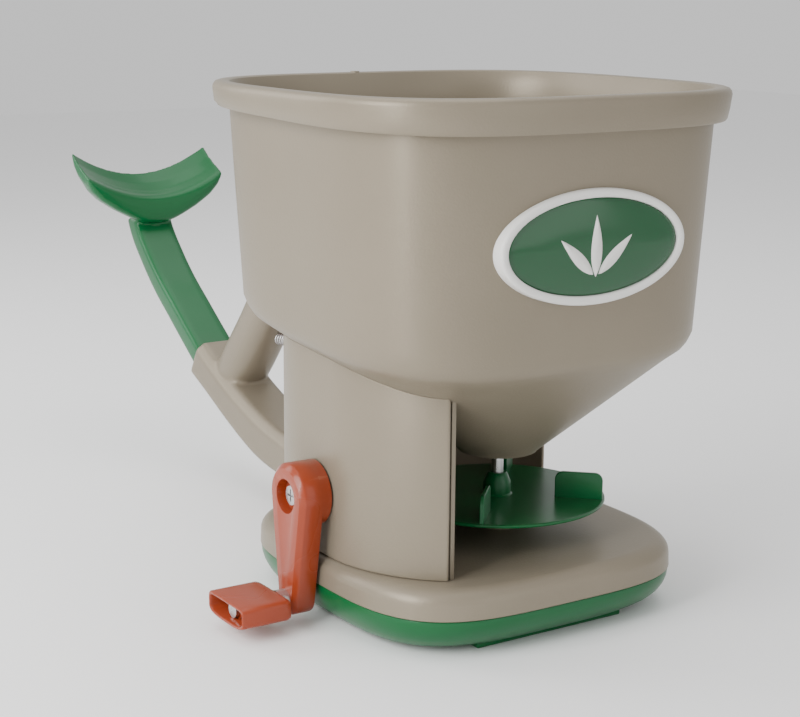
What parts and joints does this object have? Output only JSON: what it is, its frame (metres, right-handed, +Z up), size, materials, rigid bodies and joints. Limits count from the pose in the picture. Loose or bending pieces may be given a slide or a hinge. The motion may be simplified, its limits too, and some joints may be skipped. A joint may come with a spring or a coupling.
{
  "type": "garden spreader",
  "caption": "Hand-held crank broadcast spreader: rounded square hopper, spinning vaned disc, geared side crank with knob, grip with trigger-worked gate, and a forearm rest.",
  "frame": {"origin": "on the axis of the round housing, in the plane the feet stand on", "axes": "+X forward, the way the disc throws; +Y to the operator's left; +Z up; the crank is on -Y and the arm rest at -X"},
  "size_m": [0.483, 0.2395, 0.2505],
  "materials": {
    "tan_plastic": "satin moulded plastic",
    "green_plastic": "semi-gloss moulded plastic",
    "terracotta_plastic": "semi-gloss moulded plastic",
    "bezel": "satin light plastic",
    "natural_plastic": "natural acetal",
    "steel": "zinc-plated"
  },
  "bodies": {
    "frame": {"hopper": "tan_plastic", "housing": "tan_plastic", "base_pan": "tan_plastic", "gear_cover": "tan_plastic", "handle": "tan_plastic", "base_tray": "green_plastic", "arm_rest": "green_plastic", "badge_bezel": "bezel", "badge_face": "green_plastic", "handle_screws": "steel", "hopper_screws": "steel", "cover_screws": "steel", "base_screws": "steel", "stem_screw": "steel", "outlet_bush": "natural_plastic", "deck_bush": "natural_plastic", "thrust_bush": "natural_plastic", "crank_bush": "natural_plastic", "inner_bush": "natural_plastic", "cross_bushes": "natural_plastic", "trigger_pin": "steel"},
    "spinner": {"disc": "green_plastic", "spindle": "steel", "spindle_bevel": "natural_plastic", "agitator": "natural_plastic"},
    "cross": {"cross_shaft": "steel", "cross_pinion": "natural_plastic", "cross_bevel": "natural_plastic"},
    "crank": {"crank_shaft": "steel", "crank_gear": "natural_plastic", "crank_arm": "terracotta_plastic", "crank_screw": "steel", "knob_pin": "steel"},
    "knob": {"knob": "terracotta_plastic"},
    "gate": {"gate": "natural_plastic"},
    "trigger": {"trigger": "terracotta_plastic", "trigger_spring": "steel"},
    "dial": {"rate_dial": "terracotta_plastic", "dial_screw": "steel"}
  },
  "joints": [
    {"name": "crank_spin", "type": "hinge", "parent": "frame", "child": "crank", "pos_m": [0, -0.084, 0.0625], "axis": [0, 1, 0], "continuous": true},
    {"name": "cross_spin", "type": "hinge", "parent": "frame", "child": "cross", "pos_m": [0.013, -0.04, 0.018], "axis": [0, 1, 0], "continuous": true},
    {"name": "disc_spin", "type": "hinge", "parent": "frame", "child": "spinner", "pos_m": [0.013, 0.012, 0.05], "axis": [0, 0, 1], "continuous": true},
    {"name": "knob_spin", "type": "hinge", "parent": "crank", "child": "knob", "pos_m": [-0.001, -0.118, 0.01201], "axis": [0, 1, 0], "continuous": true},
    {"name": "trigger_pull", "type": "hinge", "parent": "frame", "child": "trigger", "pos_m": [-0.1665, 0, 0.1118], "axis": [0, 1, 0], "range_deg": [0, 20.47], "stiffness_Nm_per_rad": 0.15, "springref_deg": -20.05, "deforming": ["trigger_spring"]},
    {"name": "gate_slide", "type": "slide", "parent": "frame", "child": "gate", "axis": [-1, 0, 0], "range_m": [0, 0.0131]},
    {"name": "rate_set", "type": "hinge", "parent": "frame", "child": "dial", "pos_m": [-0.152, 0, 0.1188], "axis": [0, 1, 0], "range_deg": [0, 240]}
  ],
  "couplings": [
    {"joint": "cross_spin", "follows": "crank_spin", "ratio": -4.2857},
    {"joint": "disc_spin", "follows": "crank_spin", "ratio": -4.2857},
    {"joint": "gate_slide", "follows": "trigger_pull", "m_per_rad": 0.036388}
  ]
}
